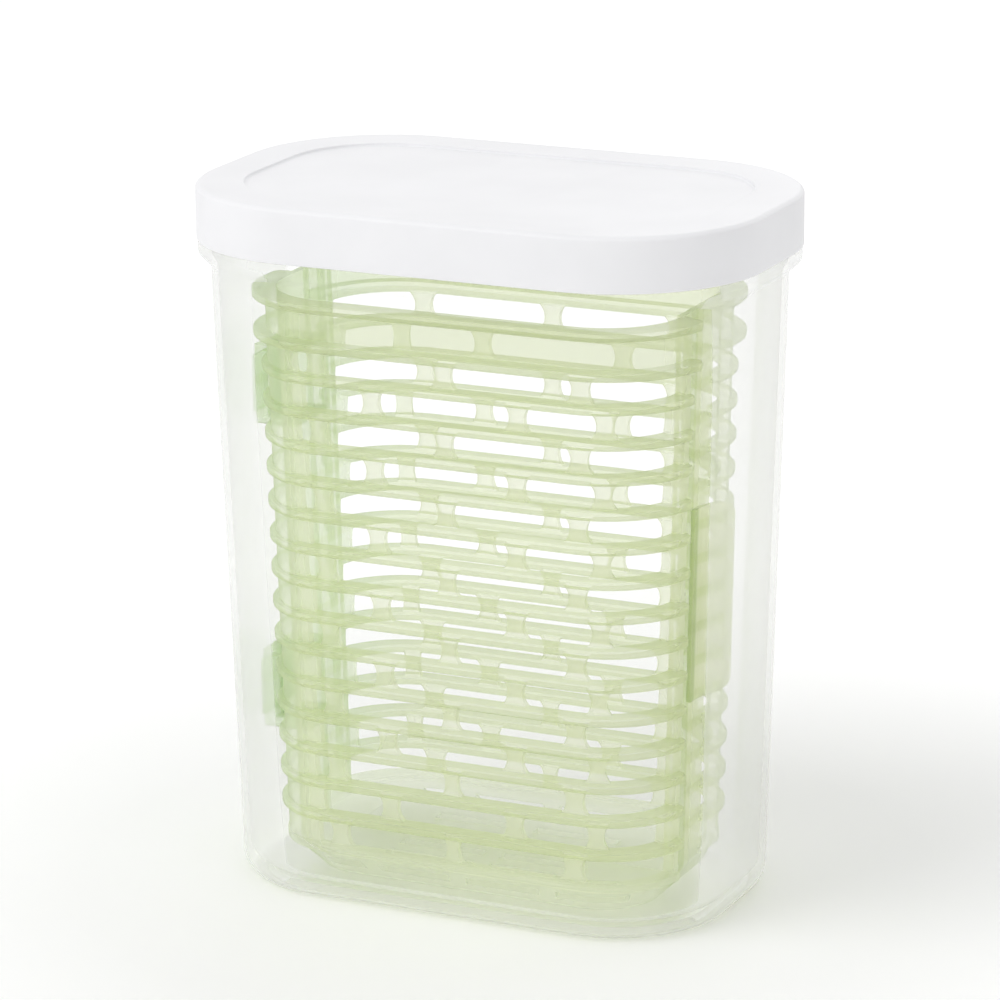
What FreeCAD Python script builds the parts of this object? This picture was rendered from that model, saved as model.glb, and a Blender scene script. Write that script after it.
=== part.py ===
"""Herb keeper: a clear container, a slip-on lid and a hinged two-part basket.

Millimetres, +Z up. The origin is the centre of the foot, on the surface that the container stands on.
+X runs along the container to the latch end of the basket, and -Y is the front.
"""
import FreeCAD, Part
import math
import os
from FreeCAD import Vector

# Lid and overall form. Every outline of the lid and container is the lid's own, moved inwards by an inset.
OVERALL_HEIGHT = 200.0
LID_LENGTH = 165.0
LID_DEPTH = 106.0
LID_CORNER = 41.3
LID_SKIRT = 15.4
LID_WALL = 1.8
LID_TOP = 2.2
LID_EDGE_BEVEL = 0.7
PANEL_INSET = 13.5
PANEL_DROP = 1.0

# Seal ring in the lid
SEAL_WIDTH = 2.8
SEAL_HEIGHT = 1.6
SEAL_RIB = 1.4

# Container
FOOT_INSET = 12.5
FOOT_CORNER = 30.0
FOOT_BREAK = 2.6
FOOT_BREAK_INSET = 10.1
FOOT_BREAK_CORNER = 33.0
FOOT_HEIGHT = 7.4
FOOT_RING = 3.0
FOOT_HOLLOW = 2.2
BODY_INSET_LOW = 8.3
BODY_INSET_HIGH = 4.3
BODY_CORNER = 35.5
CONTAINER_WALL = 2.0
CONTAINER_FLOOR = 2.2
COLLAR_SETBACK = 0.3
COLLAR_BAND = 3.3
COLLAR_FLARE = 3.5
NECK_WALL = 2.0
INNER_BEVEL = 3.8

# Clearances, and how far joined features run into each other
JOIN_DEPTH = 0.4
SLIP_GAP = 0.3
SEAT_GAP = 0.3
PIN_GAP = 0.06

# Basket outline, given at the reference level
REFERENCE_LEVEL = 149.2
BASKET_END_ROOM = 22.0
BASKET_SIDE_ROOM = 16.0
BASKET_LENGTH = LID_LENGTH - 2 * BASKET_END_ROOM
BASKET_DEPTH = LID_DEPTH - 2 * BASKET_SIDE_ROOM
BASKET_CORNER = 22.5
BASKET_DRAFT = 1.4
BASKET_WALL = 2.0
SEAM_GAP = 0.3

# Fins: a rim fin, a plain band under it, and evenly spaced fins below
RIM_LEVEL = 169.9
BAND_PITCH = 11.0
FIN_PITCH = 9.79
FIN_COUNT = 16
FIN_THICKNESS = 2.4
FIN_REACH = 3.0
RIM_FIN_REACH = 5.0
LAST_FIN_REACH = 1.7
FIN_END = 6.5
FIN_END_ROUND = 2.6
LAST_FIN_END_ROUND = 1.5

# Windows between the fins, in two kinds of row that take turns. A row is open up to a distance short of
# the seam at each end, apart from its posts. The front half's hinge-end corner stays solid past a limit
# left of the middle. Posts and limits are placed along the wall from its middle at the reference level
# and are drawn in with the draft. The back half repeats the front's pattern turned half round.
POST_WIDTH = 5.0
POST_OUTWARD = 2.0
POST_INWARD = 6.0
CORNER_POST_WIDTH = 10.0
CORNER_POST = 62.5
PAST_CORNER = 80.0
FRONT_ODD_ROW = {"left": 45.8, "seams": (16.5, 16.5), "posts": (-38.2, 0.0, 39.5)}
FRONT_EVEN_ROW = {"left": 43.4, "seams": (22.0, 22.0), "posts": (-22.0, 22.0, 46.5)}
BACK_ODD_ROW = {"left": PAST_CORNER, "seams": (16.5, 8.0), "posts": (-39.5, 0.0, 38.2, CORNER_POST)}
BACK_EVEN_ROW = {"left": PAST_CORNER, "seams": (22.0, 8.0), "posts": (-46.5, -22.0, 22.0, 45.6, CORNER_POST)}

# Thicker wall at one corner of each half: the front's at the hinge end, the back's at the latch end
COLUMN_RISE = 1.3
COLUMN_LENGTH = 13.5
COLUMN_SEAM = 17.0

# The wall at one corner of each half stands further out than the rest: the front's at the latch end, the
# back's at the hinge end. It ends at a distance from the seam, and the fins over it a little before that.
SWELL = 2.7
SWELL_CORNER = 1.7
SWELL_SEAM = 13.7
SWELL_FIN_END = 15.0

# Basket base
BEVEL_TOP = 10.6
BEVEL_LOW = 5.5
BASE_HINGE_SETBACK = 11.7
BASE_LATCH_SETBACK = 5.9
BASE_SIDE_SETBACK = 4.7
BASE_CORNER = 17.0
BASKET_FLOOR = 2.0
SLOT_LOW = 7.0
SLOT_HIGH = 9.0
SLOT_REACH = 18.7
SLOT_ENDS = (-40.0, -28.0, -23.0, -1.5, 3.5, 26.0, 31.0, 51.0)
FLOOR_SLOT_WIDTH = 4.0
FLOOR_SLOT_LENGTH = 26.0
FLOOR_SLOT_X = 15.6
FLOOR_SLOT_FIRST = 7.2
FLOOR_SLOT_PITCH = 9.0
FLOOR_SLOT_LINES = 2
GUSSET_FINS = (5, 13)
GUSSET_LEG = 21.5
GUSSET_THICKNESS = 1.6

# Hinge
HINGE_STANDOFF = 9.3
HINGE_AXIS_X = -(BASKET_LENGTH / 2 + HINGE_STANDOFF)
HINGE_HEIGHT = 23.0
HINGE_LEVELS = {"upper": 138.3, "lower": 48.3}
HINGE_PLATE_PAST_AXIS = {"upper": 1.8, "lower": 1.2}
HINGE_HALF_WIDTH = 10.0
HINGE_PLATE = 1.8
HINGE_PAD = 16.4
HINGE_PAD_RISE = 0.8
KNUCKLE_RADIUS = 1.8
KNUCKLE_GAP = 0.3
PIN_RADIUS = 0.9
BORE_OVERRUN = 1.0

# Latch
LATCH_LOW = 59.5
LATCH_HIGH = 114.8
LATCH_THICKNESS = 1.3
LATCH_ROOT = (-5.6, -2.0)
LATCH_TIP_Y = 10.8
LATCH_TIP_RISE = 5.6
LATCH_CORNER = 3.0
BEAD_RADIUS = 1.2
BEAD_LEVEL = 87.0
BEAD_HEIGHT = 16.0
CATCH_Y = 1.9
BEAD_STEP = 1.85
BEAD_RISE = 2.0

SKIRT_LEVEL = OVERALL_HEIGHT - LID_SKIRT
LID_UNDERSIDE = OVERALL_HEIGHT - PANEL_DROP - LID_TOP
NECK_INSET = LID_WALL + SLIP_GAP
NECK_TOP = LID_UNDERSIDE - SEAL_HEIGHT - SEAT_GAP
COLLAR_TOP = SKIRT_LEVEL - SEAT_GAP
COLLAR_LOW = COLLAR_TOP - COLLAR_BAND
BODY_TOP = COLLAR_LOW - COLLAR_FLARE
FLOOR_TOP = FOOT_HOLLOW + CONTAINER_FLOOR
BASKET_BOTTOM = FLOOR_TOP + SEAT_GAP
BASKET_FLOOR_TOP = BASKET_BOTTOM + BASKET_FLOOR
DRAFT_SLOPE = math.tan(math.radians(BASKET_DRAFT))
UP = Vector(0, 0, 1)


def rounded_polygon(corners, level):
    """Closed wire at a level through corners given as (x, y, radius)."""
    edges = []
    starts = []
    ends = []
    arcs = []
    count = len(corners)
    for i, (x, y, radius) in enumerate(corners):
        here = Vector(x, y, level)
        before = Vector(*corners[i - 1][:2], level) - here
        after = Vector(*corners[(i + 1) % count][:2], level) - here
        if radius == 0:
            starts.append(here)
            ends.append(here)
            arcs.append(None)
            continue
        before.normalize()
        after.normalize()
        half = before.getAngle(after) / 2
        reach = radius / math.tan(half)
        start = here + before * reach
        end = here + after * reach
        bisector = before + after
        bisector.normalize()
        middle = here + bisector * (radius / math.sin(half) - radius)
        starts.append(start)
        ends.append(end)
        arcs.append(Part.Arc(start, middle, end).toShape())
    for i in range(count):
        if arcs[i]:
            edges.append(arcs[i])
        following = starts[(i + 1) % count]
        if (following - ends[i]).Length > 1e-6:
            edges.append(Part.makeLine(ends[i], following))
    return Part.Wire(edges)


def rectangle(length, depth, radius, level):
    x = length / 2
    y = depth / 2
    return rounded_polygon([(x, -y, radius), (x, y, radius), (-x, y, radius), (-x, -y, radius)], level)


def outline(inset, level, corner=None):
    """Lid outline moved inwards; its corners stay concentric unless a radius is given."""
    if corner is None:
        corner = LID_CORNER - inset
    return rectangle(LID_LENGTH - 2 * inset, LID_DEPTH - 2 * inset, corner, level)


def extrude(wire, height):
    return Part.Face(wire).extrude(UP * height)


def prism(inset, low, high):
    return extrude(outline(inset, low), high - low)


def stack(wires):
    """Solid that passes through closed wires from the lowest up, straight between each pair."""
    lofts = [Part.makeLoft(list(pair), True, True) for pair in zip(wires, wires[1:])]
    return lofts[0].multiFuse(lofts[1:])


def edges_at(shape, level):
    """Edges that lie wholly at one level."""
    tolerance = 1e-4
    return [e for e in shape.Edges
            if abs(e.BoundBox.ZMin - level) < tolerance and abs(e.BoundBox.ZMax - level) < tolerance]


def make_container():
    outside = stack([outline(FOOT_INSET, 0, FOOT_CORNER),
                     outline(FOOT_BREAK_INSET, FOOT_BREAK, FOOT_BREAK_CORNER),
                     outline(BODY_INSET_LOW, FOOT_HEIGHT, BODY_CORNER),
                     outline(BODY_INSET_HIGH, BODY_TOP, BODY_CORNER),
                     outline(COLLAR_SETBACK, COLLAR_LOW),
                     outline(COLLAR_SETBACK, COLLAR_TOP)])
    outside = outside.fuse(prism(NECK_INSET, COLLAR_TOP, NECK_TOP))
    low_inset = BODY_INSET_LOW + CONTAINER_WALL
    corner = BODY_CORNER - CONTAINER_WALL
    inside = stack([outline(low_inset + INNER_BEVEL, FLOOR_TOP, corner - INNER_BEVEL),
                    outline(low_inset, FLOOR_TOP + INNER_BEVEL, corner),
                    outline(BODY_INSET_HIGH + CONTAINER_WALL, BODY_TOP, corner),
                    outline(NECK_INSET + NECK_WALL, COLLAR_LOW),
                    outline(NECK_INSET + NECK_WALL, NECK_TOP)])
    underside = extrude(outline(FOOT_INSET + FOOT_RING, 0, FOOT_CORNER - FOOT_RING), FOOT_HOLLOW)
    return outside.cut(inside).cut(underside)


def make_lid():
    cap = prism(0, SKIRT_LEVEL, OVERALL_HEIGHT)
    cap = cap.makeChamfer(LID_EDGE_BEVEL, edges_at(cap, OVERALL_HEIGHT))
    inside = prism(LID_WALL, SKIRT_LEVEL, LID_UNDERSIDE)
    panel = prism(PANEL_INSET, OVERALL_HEIGHT - PANEL_DROP, OVERALL_HEIGHT)
    rib_inset = LID_WALL + SEAL_WIDTH
    rib_low = LID_UNDERSIDE - SEAL_HEIGHT
    rib = prism(rib_inset, rib_low, LID_UNDERSIDE).cut(prism(rib_inset + SEAL_RIB, rib_low, LID_UNDERSIDE))
    return cap.cut(inside).cut(panel).fuse(rib).removeSplitter()


def make_lid_seal():
    low = LID_UNDERSIDE - SEAL_HEIGHT
    return prism(LID_WALL, low, LID_UNDERSIDE).cut(prism(LID_WALL + SEAL_WIDTH, low, LID_UNDERSIDE))


def basket_inset(level):
    """How far the draft has drawn the basket's outline in at a level."""
    return DRAFT_SLOPE * (REFERENCE_LEVEL - level)


def basket_outline(level, offset=0):
    """Basket outline at a level, moved inwards by an offset on top of its draft."""
    inset = basket_inset(level) + offset
    return rectangle(BASKET_LENGTH - 2 * inset, BASKET_DEPTH - 2 * inset, BASKET_CORNER - inset, level)


def drafted_block(low, high, offset):
    return stack([basket_outline(low, offset), basket_outline(high, offset)])


def box(x0, x1, y0, y1, z0, z1):
    return Part.makeBox(x1 - x0, y1 - y0, z1 - z0, Vector(x0, y0, z0))


def fin_level(index):
    if index == 0:
        return RIM_LEVEL
    return RIM_LEVEL - BAND_PITCH - FIN_PITCH * (index - 1)


def make_fin(index, swell_side):
    """Flat fin round the front half, rooted in the wall and rounded off short of the seam."""
    level = fin_level(index)
    reach = FIN_REACH
    end_round = FIN_END_ROUND
    if index < 2:
        reach = RIM_FIN_REACH
    if index == FIN_COUNT:
        reach = LAST_FIN_REACH
        end_round = LAST_FIN_END_ROUND
    inset = basket_inset(level)
    x = BASKET_LENGTH / 2 - inset
    y = BASKET_DEPTH / 2 - inset
    radius = BASKET_CORNER - inset
    root = BASKET_WALL / 2
    tip = x + reach
    corners = [(root - x, -FIN_END, 0), (-tip, -FIN_END, end_round), (-tip, -y - reach, radius + reach),
               (tip + SWELL, -y - reach, radius + reach + SWELL_CORNER), (tip + SWELL, -FIN_END, 0),
               (x - root, -FIN_END, 0), (x - root, root - y, radius - root), (root - x, root - y, radius - root)]
    end = box(x - root, BASKET_LENGTH, -SWELL_FIN_END, 0, level - FIN_THICKNESS, level + FIN_THICKNESS)
    fin = extrude(rounded_polygon(corners, level - FIN_THICKNESS / 2), FIN_THICKNESS).cut(end)
    if swell_side > 0:
        return fin
    return fin.mirror(Vector(0, 0, 0), Vector(1, 0, 0))


def row_limits(row):
    """Levels of the clear height between a fin and the fin below it."""
    return fin_level(row + 1) + FIN_THICKNESS / 2, fin_level(row) - FIN_THICKNESS / 2


def wall_point(level, along):
    """Point and outward direction on the wall's outer face, at a distance along it from the middle."""
    inset = basket_inset(level)
    radius = BASKET_CORNER - inset
    straight = BASKET_LENGTH / 2 - inset - radius
    front = inset - BASKET_DEPTH / 2
    side = math.copysign(1, along)
    distance = abs(along)
    if distance <= straight:
        return Vector(along, front, level), Vector(0, -1, 0)
    angle = (distance - straight) / radius
    x = straight + radius * math.sin(angle)
    y = front + radius - radius * math.cos(angle)
    return Vector(side * x, y, level), Vector(side * math.sin(angle), -math.cos(angle), 0)


def drawn_in(level, along):
    """A distance along the wall from its middle, drawn in with the draft."""
    if along == 0:
        return along
    return along - math.copysign(basket_inset(level), along)


def make_post(row, along):
    """What stays between two windows: an upright across the wall."""
    low, high = row_limits(row)
    middle = (low + high) / 2
    point, outward = wall_point(middle, drawn_in(middle, along))
    width = CORNER_POST_WIDTH if along == CORNER_POST else POST_WIDTH
    across = UP.cross(outward) * (width / 2)
    outer = point + outward * POST_OUTWARD
    inner = point - outward * POST_INWARD
    drop = UP * ((high - low) / 2)
    base = [outer - across - drop, outer + across - drop, inner + across - drop, inner - across - drop]
    return Part.Face(Part.makePolygon(base + base[:1])).extrude(drop * 2)


def make_row_windows(row, layout):
    """Tool that opens one row: everything between its end edges, apart from the posts."""
    low, high = row_limits(row)
    left = drawn_in((low + high) / 2, -layout["left"])
    hinge_seam, latch_seam = layout["seams"]
    corners = [(left, -BASKET_DEPTH, 0), (BASKET_LENGTH, -BASKET_DEPTH, 0), (BASKET_LENGTH, -latch_seam, 0),
               (0, -latch_seam, 0), (0, -hinge_seam, 0), (left, -hinge_seam, 0)]
    opening = extrude(rounded_polygon(corners, low), high - low)
    return opening.cut(Part.makeCompound([make_post(row, along) for along in layout["posts"]]))


def make_base_slots():
    slots = []
    for x0, x1 in zip(SLOT_ENDS[::2], SLOT_ENDS[1::2]):
        slots.append(box(x0, x1, -BASKET_DEPTH, SLOT_REACH - BASKET_DEPTH / 2, SLOT_LOW, SLOT_HIGH))
    for x in (-FLOOR_SLOT_X, FLOOR_SLOT_X):
        for line in range(FLOOR_SLOT_LINES):
            y = -FLOOR_SLOT_FIRST - FLOOR_SLOT_PITCH * line
            slots.append(box(x - FLOOR_SLOT_LENGTH / 2, x + FLOOR_SLOT_LENGTH / 2, y - FLOOR_SLOT_WIDTH / 2,
                             y + FLOOR_SLOT_WIDTH / 2, BASKET_BOTTOM, BASKET_FLOOR_TOP))
    return Part.makeCompound(slots)


def base_outline(level, offset=0):
    """Outline of the base, which is set in further at the hinge end."""
    x0 = BASE_HINGE_SETBACK - BASKET_LENGTH / 2 + offset
    x1 = BASKET_LENGTH / 2 - BASE_LATCH_SETBACK - offset
    y = BASKET_DEPTH / 2 - BASE_SIDE_SETBACK - offset
    radius = BASE_CORNER - offset
    return rounded_polygon([(x1, -y, radius), (x1, y, radius), (x0, y, radius), (x0, -y, radius)], level)


def make_shell():
    """Drafted wall on a bevelled base, cut off at the seam and open at the top; the front half."""
    rim = RIM_LEVEL + FIN_THICKNESS / 2
    plinth = extrude(base_outline(BEVEL_LOW), BASKET_BOTTOM - BEVEL_LOW)
    outside = stack([base_outline(BEVEL_LOW), basket_outline(BEVEL_TOP), basket_outline(rim)])
    inside = stack([base_outline(BASKET_FLOOR_TOP, BASKET_WALL), basket_outline(BEVEL_TOP, BASKET_WALL),
                    basket_outline(rim, BASKET_WALL)])
    reach = BASKET_LENGTH
    front = box(-reach, reach, -reach, -SEAM_GAP / 2, 0, RIM_LEVEL + reach)
    return outside.fuse(plinth).cut(inside).common(front)


def swelled_outline(level, side):
    """Basket outline at a level with its end on one side pushed out."""
    inset = basket_inset(level)
    near = BASKET_LENGTH / 2 - inset
    far = side * (near + SWELL)
    y = BASKET_DEPTH / 2 - inset
    radius = BASKET_CORNER - inset
    swelled = radius + SWELL_CORNER
    return rounded_polygon([(far, -y, swelled), (far, y, swelled), (-side * near, y, radius),
                            (-side * near, -y, radius)], level)


def make_swell(side):
    """Wall pushed out at a corner; side is -1 at the hinge end, 1 at the latch end."""
    low = fin_level(FIN_COUNT)
    high = fin_level(0)
    block = stack([swelled_outline(low, side), swelled_outline(high, side)])
    band = block.cut(drafted_block(low, high, JOIN_DEPTH))
    start = BASKET_LENGTH / 2 - BASKET_CORNER
    x0 = min(side * start, side * BASKET_LENGTH)
    x1 = max(side * start, side * BASKET_LENGTH)
    return band.common(box(x0, x1, -BASKET_DEPTH, -SWELL_SEAM, low, high))


def make_column(side):
    """Extra thickness on the outside of a corner; side is -1 at the hinge end, 1 at the latch end."""
    low = fin_level(FIN_COUNT)
    high = fin_level(0)
    band = drafted_block(low, high, -COLUMN_RISE).cut(drafted_block(low, high, JOIN_DEPTH))
    start = BASKET_LENGTH / 2 - COLUMN_LENGTH
    x0 = min(side * start, side * BASKET_LENGTH)
    x1 = max(side * start, side * BASKET_LENGTH)
    return band.common(box(x0, x1, -BASKET_DEPTH, -COLUMN_SEAM, low, high))


def make_basket_half(odd_layout, even_layout, column_side):
    """Half of the basket, drawn at the front, without hinge, latch or gussets; its top row is solid."""
    tools = [make_base_slots()]
    for row in range(1, FIN_COUNT):
        tools.append(make_row_windows(row, odd_layout if row % 2 else even_layout))
    corners = make_column(column_side).fuse(make_swell(-column_side))
    shell = make_shell().fuse(corners).cut(tools)
    fins = [make_fin(index, -column_side) for index in range(FIN_COUNT + 1)]
    return shell.multiFuse(fins)


def knuckle(low, high, side):
    """Hinge barrel with the web that ties it to its bracket; side is -1 at the front, 1 at the back."""
    barrel = Part.makeCylinder(KNUCKLE_RADIUS, high - low, Vector(HINGE_AXIS_X, 0, low))
    far = side * (KNUCKLE_RADIUS + KNUCKLE_GAP + JOIN_DEPTH)
    web = box(HINGE_AXIS_X - KNUCKLE_RADIUS, HINGE_AXIS_X + KNUCKLE_RADIUS, min(0, far), max(0, far), low, high)
    return barrel.fuse(web)


def make_bracket(level, reach, side):
    """Open bracket that carries the knuckles off the basket's end wall."""
    low = level - HINGE_HEIGHT / 2
    high = level + HINGE_HEIGHT / 2
    wall_x = BASKET_LENGTH / 2 - basket_inset(low) - BASKET_WALL / 2
    near = KNUCKLE_RADIUS + KNUCKLE_GAP
    y0 = min(side * near, side * HINGE_HALF_WIDTH)
    y1 = max(side * near, side * HINGE_HALF_WIDTH)
    block = box(-reach, -wall_x, y0, y1, low, high)
    window = box(-reach + HINGE_PLATE, -wall_x, y0, y1, low + HINGE_PLATE, high - HINGE_PLATE)
    pad = box(-reach - HINGE_PAD_RISE, -reach, y0, y1, level - HINGE_PAD / 2, level + HINGE_PAD / 2)
    return block.cut(window).fuse(pad)


def knuckle_spans(level):
    """Levels of the front half's two knuckles and of the back half's one between them."""
    low = level - HINGE_HEIGHT / 2
    quarter = HINGE_HEIGHT / 4
    front = [(low, low + quarter - KNUCKLE_GAP), (low + 3 * quarter + KNUCKLE_GAP, low + HINGE_HEIGHT)]
    back = [(low + quarter, low + 3 * quarter)]
    return front, back


def make_hinge_side(side):
    pieces = []
    for name, level in HINGE_LEVELS.items():
        pieces.append(make_bracket(level, HINGE_PLATE_PAST_AXIS[name] - HINGE_AXIS_X, side))
        front, back = knuckle_spans(level)
        for low, high in (front if side < 0 else back):
            pieces.append(knuckle(low, high, side))
    return pieces


def make_pin_bores():
    bores = []
    for level in HINGE_LEVELS.values():
        bores.append(Part.makeCylinder(PIN_RADIUS + PIN_GAP, HINGE_HEIGHT + 2 * BORE_OVERRUN,
                                       Vector(HINGE_AXIS_X, 0, level - HINGE_HEIGHT / 2 - BORE_OVERRUN)))
    return Part.makeCompound(bores)


def make_hinge_pin(level):
    return Part.makeCylinder(PIN_RADIUS, HINGE_HEIGHT, Vector(HINGE_AXIS_X, 0, level - HINGE_HEIGHT / 2))


def make_gusset(index):
    """Flat web across the inside corner at the latch end of the front half."""
    low = fin_level(index) - GUSSET_THICKNESS / 2
    high = low + GUSSET_THICKNESS
    inset = basket_inset(low) + BASKET_WALL
    x = BASKET_LENGTH / 2 - inset
    y = BASKET_DEPTH / 2 - inset
    corners = [(x + BASKET_WALL, -y - BASKET_WALL, 0), (x + BASKET_WALL, GUSSET_LEG - BASKET_WALL - y, 0),
               (x + BASKET_WALL - GUSSET_LEG, -y - BASKET_WALL, 0)]
    triangle = extrude(rounded_polygon(corners, low), GUSSET_THICKNESS)
    return triangle.common(drafted_block(low, high, BASKET_WALL / 2))


def join(pieces):
    return pieces[0].multiFuse(pieces[1:]).removeSplitter()


def make_basket_front():
    half = make_basket_half(FRONT_ODD_ROW, FRONT_EVEN_ROW, -1)
    return join([half] + make_hinge_side(-1)).cut(make_pin_bores())


def make_basket_back():
    pieces = [make_basket_half(BACK_ODD_ROW, BACK_EVEN_ROW, 1)]
    pieces += [make_gusset(index) for index in GUSSET_FINS]
    pieces = [piece.mirror(Vector(0, 0, 0), Vector(0, 1, 0)) for piece in pieces]
    catch_x = BASKET_LENGTH / 2 - basket_inset(BEAD_LEVEL)
    pieces.append(Part.makeCylinder(BEAD_RADIUS, BEAD_HEIGHT,
                                    Vector(catch_x, CATCH_Y, BEAD_LEVEL - BEAD_HEIGHT / 2)))
    return join(pieces + make_hinge_side(1)).cut(make_pin_bores())


def latch_section(level):
    """Plan of the latch tab at a level: flat at its root, then leaning out over the back half's fins."""
    wall = BASKET_LENGTH / 2 - basket_inset(level)
    near = wall + SLIP_GAP
    root_start, root_end = LATCH_ROOT
    lean = math.atan2(LATCH_TIP_RISE, LATCH_TIP_Y - root_end)
    shift = LATCH_THICKNESS * math.tan(lean / 2)
    tip_x = near + LATCH_TIP_RISE
    corners = [(near, root_start, 0), (near + LATCH_THICKNESS, root_start, 0),
               (near + LATCH_THICKNESS, root_end - shift, LATCH_CORNER),
               (tip_x + LATCH_THICKNESS * math.cos(lean), LATCH_TIP_Y - LATCH_THICKNESS * math.sin(lean), 0),
               (tip_x, LATCH_TIP_Y, 0), (near, root_end, LATCH_CORNER + LATCH_THICKNESS)]
    return rounded_polygon(corners, level)


def make_latch():
    plate = Part.makeLoft([latch_section(LATCH_LOW), latch_section(LATCH_HIGH)], True, True)
    catch_x = BASKET_LENGTH / 2 - basket_inset(BEAD_LEVEL)
    bead = Part.makeCylinder(BEAD_RADIUS, BEAD_HEIGHT,
                             Vector(catch_x + BEAD_RISE, CATCH_Y + BEAD_STEP, BEAD_LEVEL - BEAD_HEIGHT / 2))
    return plate.fuse(bead).removeSplitter()


def main():
    os.makedirs("parts", exist_ok=True)
    shapes = {
        "container": make_container(),
        "lid": make_lid(),
        "lid_seal": make_lid_seal(),
        "basket_front": make_basket_front(),
        "basket_back": make_basket_back(),
        "basket_latch": make_latch(),
    }
    for name, level in HINGE_LEVELS.items():
        shapes["hinge_pin_" + name] = make_hinge_pin(level)
    for name, shape in shapes.items():
        shape.exportStep("parts/" + name + ".step")
        box_size = shape.BoundBox
        print(name, "solids", len(shape.Solids), "valid", shape.isValid(), "volume", round(shape.Volume),
              "box", [round(v, 2) for v in (box_size.XMin, box_size.YMin, box_size.ZMin,
                                            box_size.XMax, box_size.YMax, box_size.ZMax)])


main()
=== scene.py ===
"""Looks of the herb keeper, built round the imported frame.

Shapes are drawn in millimetres. Materials, lamps and the camera are set in metres."""

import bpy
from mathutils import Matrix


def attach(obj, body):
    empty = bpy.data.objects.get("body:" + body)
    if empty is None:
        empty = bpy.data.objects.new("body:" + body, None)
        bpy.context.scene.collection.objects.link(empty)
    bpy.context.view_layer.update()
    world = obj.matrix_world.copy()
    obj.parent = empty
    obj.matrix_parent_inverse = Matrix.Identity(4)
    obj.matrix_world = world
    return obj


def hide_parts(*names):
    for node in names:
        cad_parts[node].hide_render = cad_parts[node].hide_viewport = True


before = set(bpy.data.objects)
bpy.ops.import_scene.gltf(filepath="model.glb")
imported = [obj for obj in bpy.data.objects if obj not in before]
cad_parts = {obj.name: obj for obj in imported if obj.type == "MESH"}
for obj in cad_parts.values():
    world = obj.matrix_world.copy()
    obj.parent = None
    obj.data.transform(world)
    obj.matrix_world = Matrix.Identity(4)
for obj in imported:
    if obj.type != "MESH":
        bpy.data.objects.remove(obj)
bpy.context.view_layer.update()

import math
import bpy
import bmesh
from mathutils import Matrix, Vector

MM = 0.001
QUARTER = math.pi / 2

# Overall form
LID_HALF = (82.5, 53.0)
LID_CORNER = 41.3
CORNER_STEPS = 20

# Basket: its wall leans inwards from the reference level down, where it has the half sizes below
DRAFT_SLOPE = math.tan(math.radians(1.4))
REFERENCE_LEVEL = 149.2
BASKET_HALF = (60.5, 37.0)
BASKET_CORNER = 22.5
PATH_CORNER = 20.8  # radius by which places along the wall are counted round its corners
STRAIGHT_X = BASKET_HALF[0] - BASKET_CORNER
STRAIGHT_Y = BASKET_HALF[1] - BASKET_CORNER
WALL = 2.0
SEAM = 0.15
RIM_LEVEL = 169.9
BAND_PITCH = 11.0
FIN_PITCH = 9.79
FIN_COUNT = 16
FIN_HALF = 1.2
FIN_REACH = 3.0
BAND_REACH = 5.0
LOWEST_FIN_REACH = 1.7
FIN_END_ROUND = 2.6
FIN_EDGE = 0.55
POST_FLARE = 1.5
CORNER_POST_FLARE = 0.5
POST_ARC = 0.82
POST_BLEND = 6.0
COLUMN_RISE = 1.3
SWELL = 2.7
SWELL_CORNER = 1.7
SWELL_WALL = 3.2


# ---------------------------------------------------------------- meshes
def new_object(name, verts, faces, smooth_angle=38):
    mesh = bpy.data.meshes.new(name)
    mesh.from_pydata([Vector(v) * MM for v in verts], [], faces)
    work = bmesh.new()
    work.from_mesh(mesh)
    bmesh.ops.recalc_face_normals(work, faces=work.faces)
    work.to_mesh(mesh)
    work.free()
    obj = bpy.data.objects.new(name, mesh)
    bpy.context.scene.collection.objects.link(obj)
    for polygon in mesh.polygons:
        polygon.use_smooth = True
    mesh.set_sharp_from_angle(angle=math.radians(smooth_angle))
    return obj


def rounded_loop(half_x, half_y, radius, level):
    points = []
    centres = ((half_x - radius, half_y - radius, 0), (radius - half_x, half_y - radius, 1),
               (radius - half_x, radius - half_y, 2), (half_x - radius, radius - half_y, 3))
    for x, y, quarter in centres:
        for step in range(CORNER_STEPS + 1):
            angle = QUARTER * (quarter + step / CORNER_STEPS)
            points.append((x + radius * math.cos(angle), y + radius * math.sin(angle), level))
    return points


def lid_loop(inset, level, corner=None):
    radius = LID_CORNER - inset if corner is None else corner
    return rounded_loop(LID_HALF[0] - inset, LID_HALF[1] - inset, radius, level)


def skin(name, loops):
    """Closed surface through loops of equal length, capped at both ends."""
    count = len(loops[0])
    verts = [point for loop in loops for point in loop]
    faces = []
    for row in range(len(loops) - 1):
        for i in range(count):
            j = (i + 1) % count
            faces.append((row * count + i, row * count + j, (row + 1) * count + j, (row + 1) * count + i))
    faces.append(tuple(reversed(range(count))))
    last = (len(loops) - 1) * count
    faces.append(tuple(range(last, last + count)))
    return new_object(name, verts, faces)


def rounded(points, radius):
    """Profile points (inset, level) with each inner corner turned into a small arc."""
    steps = 3
    result = [points[0]]
    for before, here, after in zip(points, points[1:], points[2:]):
        h = Vector(here)
        a = Vector(before) - h
        b = Vector(after) - h
        reach = min(radius, a.length * 0.45, b.length * 0.45)
        start = h + a.normalized() * reach
        end = h + b.normalized() * reach
        for step in range(steps + 1):
            t = step / steps
            p = start * (1 - t) ** 2 + h * 2 * t * (1 - t) + end * t * t
            result.append((p.x, p.y))
    result.append(points[-1])
    return result


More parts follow.
